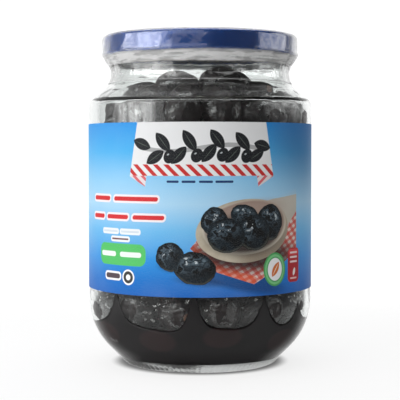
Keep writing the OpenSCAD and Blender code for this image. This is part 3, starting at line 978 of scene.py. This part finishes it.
def drawFront(ink):
    white, red, dark, green = (240, 241, 242), (206, 44, 44), (26, 29, 33), (84, 196, 104)
    # folded ends, then the hanging panel with its striped hem
    for side in (-1, 1):
        corners = ((31.4, 82.2), (23.9, 78.0), (23.1, 83.4), (30.5, 83.4))
        fold = ink.polygon(*[(0.8 + side * x, z) for x, z in corners])
        ink.lay(fold, (238, 226, 228))
        ink.lay(fold * ink.stripes(ink.across * side * 0.9 - ink.up, 3.6, 0.42), (222, 104, 112))
    ink.lay(ink.polygon((-26.4, 106), (28.1, 106), (32.2, 82.4), (-30.5, 82.4)), white)
    hem = ink.polygon((-29.8, 87.0), (31.5, 87.0), (32.3, 82.4), (-30.6, 82.4))
    ink.lay(hem * ink.stripes(ink.across + ink.up * 1.02, 4.6, 0.47, 0.035), red)
    # olive sprig
    stem = ink.up - 93.6 - (ink.across * 0.13).maths("SINE") * 1.3
    ink.lay(ink.box(0.5, 93.6, 49, 9) * ink.cover(abs(stem) - 0.9), dark)
    for x, z, length, turn in (
        (-24.5, 95.2, 8.0, 158), (-18.6, 89.9, 8.6, 214), (-15.2, 96.0, 9.0, 128), (-8.6, 90.7, 8.8, 228),
        (-4.2, 96.6, 9.4, 122), (3.6, 91.6, 8.8, 231), (7.0, 97.2, 9.0, 126), (13.4, 91.0, 8.6, 226),
        (17.6, 96.4, 8.8, 130), (23.6, 90.6, 8.2, 212), (26.6, 94.6, 7.6, 166),
    ):
        ink.lay(ink.leaf(x, z, length * 1.06, 4.6, turn), dark)
        ink.lay(ink.leaf(x, z, length * 0.8, 0.24, turn), (92, 100, 94))
    for x, z in ((-12.4, 90.2), (-1.2, 90.6), (9.2, 90.9), (19.4, 90.4)):
        ink.lay(ink.oval(x, z, 2.9, 2.4, 65), dark)
        ink.lay(ink.oval(x - 0.6, z + 0.8, 0.5, 0.3, 30), (190, 196, 200))
    for start, end in ((-13.6, -8.6), (-7.4, -1.8), (-0.4, 5.2), (6.2, 13.6)):
        ink.textBar(start, end, 80.1, 0.95, (34, 62, 110))
    # bars in place of words
    for start, end, z in (
        (-55.2, -42.3, 72.9), (-39.6, -17.3, 72.9), (-55.8, -46.6, 65.4), (-44.2, -31.6, 65.4),
        (-29.2, -14.6, 65.4),
    ):
        ink.textBar(start, end, z, 1.8, (216, 44, 50), (252, 240, 244), 0.15)
    for start, end in ((-47, -37.5), (-35.5, -26)):
        ink.textBar(start, end, 59.4, 0.8, (214, 226, 236), (240, 244, 248))
    ink.textBar(-41, -31.4, 56.3, 0.7, (120, 84, 84), (244, 246, 250))
    ink.lay(ink.box(-36.3, 49.9, 26.9, 9.0, 3.2), green)
    for start, end in ((-48.6, -38.6), (-36.2, -25.0)):
        ink.textBar(start, end, 50.0, 2.1, (240, 250, 242))
    ink.textBar(-45.2, -36.2, 40.9, 2.1, (84, 70, 76), (250, 250, 252))
    for size, colour in ((3.2, (250, 250, 252)), (2.5, (58, 56, 54)), (1.2, (250, 250, 252))):
        ink.lay(ink.oval(-31.6, 40.7, size, size), colour)


def drawSpoon(ink, grain):
    # checked cloth under the spoon, with its shadow
    cloth = ink.polygon(
        (-4, 53.2), (7.0, 43.6), (22.8, 38.4), (27.6, 40.9), (40, 47.4), (47.2, 52.4), (47.2, 60), (0, 58)
    )
    cloth = cloth.high(ink.polygon((36, 54), (47.2, 52.0), (47.2, 67.5), (43.0, 64.5)))
    ink.lay(ink.oval(14, 41.4, 24, 4.6, -14, 1.4) * 0.6, (14, 34, 80))
    ink.lay(cloth, (226, 208, 200))
    for value, pitch, edge in (
        (ink.across + ink.up * 0.9, 4.4, 0.06), (ink.up - ink.across * 0.45, 2.6, 0.08)
    ):
        ink.lay(cloth * ink.stripes(value, pitch, 0.5, edge) * 0.7, (206, 58, 40))
    for hem in (
        ((-4, 53.2), (7.0, 43.6), (7.8, 46.4), (-1.4, 54.2)),
        ((7.0, 43.6), (22.8, 38.4), (24.0, 41.2), (7.8, 46.4)),
    ):
        ink.lay(ink.polygon(*hem) * 0.6, (226, 92, 46))
    ink.lay(cloth * ink.oval(20, 50.4, 25.0, 6.6, -2, 2.8) * 0.94, (48, 34, 34))
    # spoon: its handle, the bowl's outside, the rim and the hollow
    handle = ink.polygon((18, 71.4), (32, 72.9), (47.2, 76.4), (47.2, 67.6), (39, 60), (25, 64))
    ink.lay(handle, (196, 190, 178))
    ink.lay(ink.oval(44, 71.5, 12, 3.2, 15, 2.4) * ink.box(33, 70, 28.4, 20) * 0.6, (214, 210, 200))
    bowl = ink.oval(19.6, 60.2, 21.4, 12.8, 5)
    ink.lay(bowl, (196, 187, 168))
    ink.lay(ink.oval(30, 52.5, 15, 6.5, 28, 4.0) * bowl * 0.75, (126, 112, 96))
    ink.lay(bowl * grain.ramp(0.42, 0.62) * 0.3, (148, 128, 104))
    ink.lay(ink.oval(20.2, 61.6, 19.4, 10.9, 6, 0.3), (214, 205, 188))
    ink.lay(ink.oval(20.4, 62.2, 18.4, 10.1, 6, 0.7), (146, 124, 112))
    ink.lay(ink.oval(23.0, 68.0, 14.0, 4.2, 6, 2.0) * 0.7, (176, 154, 142))
    ink.lay(ink.oval(18.5, 58.4, 15.8, 8.2, 2, 2.5) * 0.9, (30, 26, 28))
    for olive in spoonOlives:
        ink.olive(*olive)
    for olive in looseOlives:
        x, z, halfWidth, halfHeight, _ = olive
        ink.lay(ink.oval(x + 1.5, z - halfHeight * 0.8, halfWidth, 1.8, -6, 1.0) * 0.5, (14, 34, 70))
        ink.olive(*olive)


def drawBadges(ink):
    for halfWidth, halfHeight, colour in (
        (6.0, 6.9, (74, 160, 92)), (5.3, 6.2, (120, 196, 130)), (4.4, 5.2, (72, 156, 96)),
        (3.9, 4.7, (238, 238, 240)),
    ):
        ink.lay(ink.oval(33.35, 43.9, halfWidth, halfHeight), colour)
    ink.lay(ink.leaf(33.6, 43.9, 7.0, 3.0, 58), (206, 110, 52))
    ink.lay(ink.leaf(33.6, 43.9, 5.6, 0.4, 58), (244, 220, 200))
    ink.lay(ink.box(45.2, 45.0, 8.2, 14.2, 2.0), (178, 34, 42))
    ink.lay(ink.box(45.2, 50.4, 7.2, 2.6, 1.0), (214, 70, 72))
    for z in (50.2, 48.3, 46.4):
        ink.textBar(42.6, 47.9, z, 0.8, (240, 214, 214))
    ink.lay(ink.leaf(45.6, 42.2, 3.6, 1.7, 70), (240, 232, 230))
    ink.textBar(42.8, 47.6, 39.5, 0.7, (234, 190, 190))


def drawBack(ink):  # plain panels on the far side: rows of bars for words, and a table
    ink.lay(ink.box(-104, 70, 58, 56, 3), (238, 243, 247))
    ink.textBlock(-129, -79, 94, 9, 3.5, 1.0, (60, 82, 116))
    ink.lay(ink.box(108, 79, 52, 40, 3), (238, 243, 247))
    ink.textBlock(86, 131, 94, 8, 3.9, 1.1, (60, 82, 116))
    ink.lay(ink.box(108, 47, 52, 15, 2), (84, 196, 104))
    for z in (50.5, 47.0, 43.5):
        ink.textBar(88, 122, z, 1.1, (236, 248, 238))
    for z in np.arange(45.5, 61, 3.0):
        ink.lay(ink.box(-104, z, 50, 0.3), (120, 138, 160))
    for x in (-128.8, -104, -79.2):
        ink.lay(ink.box(x, 53.0, 0.3, 15.3), (120, 138, 160))
    ink.lay(ink.box(-153.2, 68.8, 0.35, 71), (20, 74, 140))  # shade of the paper's lapped edge


def labelMaterial():
    bench = Bench("labelPrint")
    spot = bench.wire("ShaderNodeUVMap", {"uv_map": "wrap"})
    ink = Print(bench, *bench.split(spot, 2), paper["soft"])
    low, high = blueField[0][0], blueField[-1][0]
    stops = [((z - low) / (high - low), linear(*colour)) for z, colour in blueField]
    ink.colour = bench.wire("ShaderNodeValToRGB", {"stops": stops}, {0: (ink.up - low) / (high - low)})
    ink.lay(bench.noise(spot, 0.035).ramp(0.35, 0.65) * 0.05, (232, 244, 252))
    ink.lay(ink.oval(54, 97, 24, 17, -20, 13) * 0.55, (2, 70, 136))
    drawBack(ink)
    drawFront(ink)
    drawSpoon(ink, bench.noise(spot, 0.12, 3.0))
    drawBadges(ink)
    ink.lay(bench.noise(spot, 2.4).ramp(0.35, 0.8) * 0.05, (255, 255, 255))  # grain of the paper
    normal = bench.bump(bench.noise(spot, 0.08), 0.0005, 0.2)
    return bench.surface(Base_Color=ink.colour, Roughness=0.5, Normal=normal, Specular_IOR_Level=0.12)


def makeLabel():
    outer = labelRadius
    turns, rows = paper["turns"], paper["rows"]
    points, faces, wraps = [], [], []
    turn = np.linspace(-math.pi, math.pi, turns + 1)
    for radius, order in ((outer, 1), (outer - paper["thick"], -1)):
        start = len(points)
        for z in np.linspace(labelBottom, labelTop, rows + 1):
            for a in turn:
                points.append([radius * math.sin(a), -radius * math.cos(a), z])
                wraps.append([a * outer, z])
        for k in range(rows):
            for i in range(turns):
                a, b = start + k * (turns + 1) + i, start + (k + 1) * (turns + 1) + i
                quad = [a, a + 1, b + 1, b]
                faces.append(quad[::order])
    shift = (rows + 1) * (turns + 1)
    for i in range(turns):
        faces.append([i, shift + i, shift + i + 1, i + 1])
        top = rows * (turns + 1) + i
        faces.append([top, top + 1, shift + top + 1, shift + top])
    for k in range(rows):
        a, b = k * (turns + 1), (k + 1) * (turns + 1)
        faces.append([a, b, shift + b, shift + a])
        faces.append([a + turns, shift + a + turns, shift + b + turns, b + turns])
    piece = makePiece("labelPaper", points, faces, labelMaterial(), sharp=40)
    layer = piece.data.uv_layers.new(name="wrap")
    corners = np.array([loop.vertex_index for loop in piece.data.loops])
    layer.data.foreach_set("uv", np.array(wraps)[corners].astype(np.float32).ravel())
    placePiece(piece, "label")


makeLabel()
print("label made")


film = {
    "sheet": 0.08, "turns": 480, "crumple": 0.55, "gather": 0.18, "creases": 4, "seed": 41,
    "edge": 1.95, "ease": 0.25,
}


def filmMaterial():
    bench = Bench("shrinkFilm")
    place = bench.objectPlace()
    z = bench.split(place)[2]
    normal = bench.bump(bench.noise(place, 260.0, 3.0), 0.0004, 0.3)
    clear = bench.principled(
        Base_Color=(1, 1, 1, 1), Roughness=0.04, IOR=1.45, Transmission_Weight=1.0, Normal=normal
    )
    milky = bench.principled(Base_Color=linear(250, 250, 250), Roughness=0.4, Normal=normal)
    lines = bench.noise(bench.vector("MULTIPLY", place, (1, 1, 6)), 90.0, 3.0)
    band = z.ramp(0.1288, 0.1300) * (1 - z.ramp(0.1325, 0.1345))
    streaks = z.ramp(0.1225, 0.125) * (1 - z.ramp(0.1285, 0.1300)) * lines.ramp(0.56, 0.68)
    haze = band * (0.45 + lines.ramp(0.42, 0.56) * 0.5) + streaks * 0.4
    haze = haze + (1 - z.ramp(0.1215, 0.1225)) * 0.3
    return bench.finish(bench.wire("ShaderNodeMixShader", {}, {0: haze.low(0.95), 1: clear, 2: milky}))


def makeFilm():
    edge, turns = film["edge"], film["turns"]
    waist = glass["height"] - glass["waistDrop"]
    neck = glass["neckRadius"] + film["ease"]
    path = [[cap["skirt"] - 5, sealTop], [cap["skirt"] - 3.5, sealTop]]
    path += arc(sealRadius - edge, sealTop - edge, edge, math.pi / 2, 0, 8).tolist()
    path += [[sealRadius, z] for z in np.linspace(sealTop - edge - 1, curlZ, 9)]
    for share in (0.25, 0.5, 0.75):
        path.append([sealRadius + (neck - sealRadius) * share, curlZ + (waist + 1.6 - curlZ) * share])
    curve = glass["neckCurve"]
    path += arc(glass["neckRadius"] + curve, waist, curve - film["ease"], math.pi, math.pi + 0.53, 8).tolist()
    path = np.array(path)
    steps = np.gradient(path, axis=0)
    normals = np.stack([-steps[:, 1], steps[:, 0]], 1)
    normals /= np.linalg.norm(normals, axis=1)[:, None]
    profile = np.concatenate([path, (path + normals * film["sheet"])[::-1]])
    rings = np.repeat(profile[:, None, :], turns, 1)
    spots = spun(rings, directions(turns))
    draw = np.random.default_rng(film["seed"])
    crumple = np.zeros(len(spots))
    for _ in range(film["creases"]):  # flat facets that meet in sharp folds
        slant = draw.normal(size=3) / draw.uniform(10, 18)
        crumple += abs((spots @ slant + draw.uniform()) % 1 - 0.5) * 2 / film["creases"]
    crumple = crumple.reshape(rings.shape[:2])
    gathers = waves(spots * [1, 1, 0.25], 43, 12, 2.5, 6).reshape(rings.shape[:2])
    heights = rings[:, :, 1]
    onSlope = np.clip((curlZ + 0.5 - heights) / 3, 0, 1) * np.clip((heights - waist + 4) / 3, 0, 1)
    onSide = np.clip((heights - curlZ) / 1.5, 0, 1)
    rings[:, :, 0] -= onSide * film["crumple"] * (1 - crumple) - onSlope * film["gather"] * (gathers - 0.2)
    points, faces = lathe(rings, turns)
    piece = makePiece("shrinkFilm", points, faces, filmMaterial(), sharp=60)
    placePiece(piece, "seal")


makeFilm()
print("film made")


def makeFloor():  # pale under the jar and faded out further off, so that no horizon shows
    bench = Bench("paleFloor")
    x, y = bench.split(bench.objectPlace(), 2)
    far = (x * x + y * y) ** 0.5
    paint = bench.principled(Base_Color=(0.88, 0.88, 0.88, 1), Roughness=0.75)
    clear = bench.wire("ShaderNodeBsdfTransparent")
    # painted light and shade in the floor's glow: brighter right under the jar, where it shows through the
    # glass base, with a painted shadow ring round the foot; rays through the glass see more of the glow
    paintedGlowAndShadowRing = 1.35 - far.ramp(0.025, 0.031) * 1.2 + far.ramp(0.033, 0.040) * 0.85
    glow = bench.wire("ShaderNodeEmission", {}, {"Color": paintedGlowAndShadowRing})
    through = bench.wire("ShaderNodeLightPath", output="Is Transmission Ray")
    lit = bench.wire("ShaderNodeMixShader", {}, {0: 0.82 + through * 0.1, 1: paint, 2: glow})
    surface = bench.wire("ShaderNodeMixShader", {}, {0: far.ramp(0.12, 0.42), 1: lit, 2: clear})
    half = 450
    points = [[-half, -half, 0], [half, -half, 0], [half, half, 0], [-half, half, 0]]
    floor = makePiece("floor", points, [[0, 1, 2, 3]], bench.finish(surface))
    floor.visible_glossy = False


makeFloor()
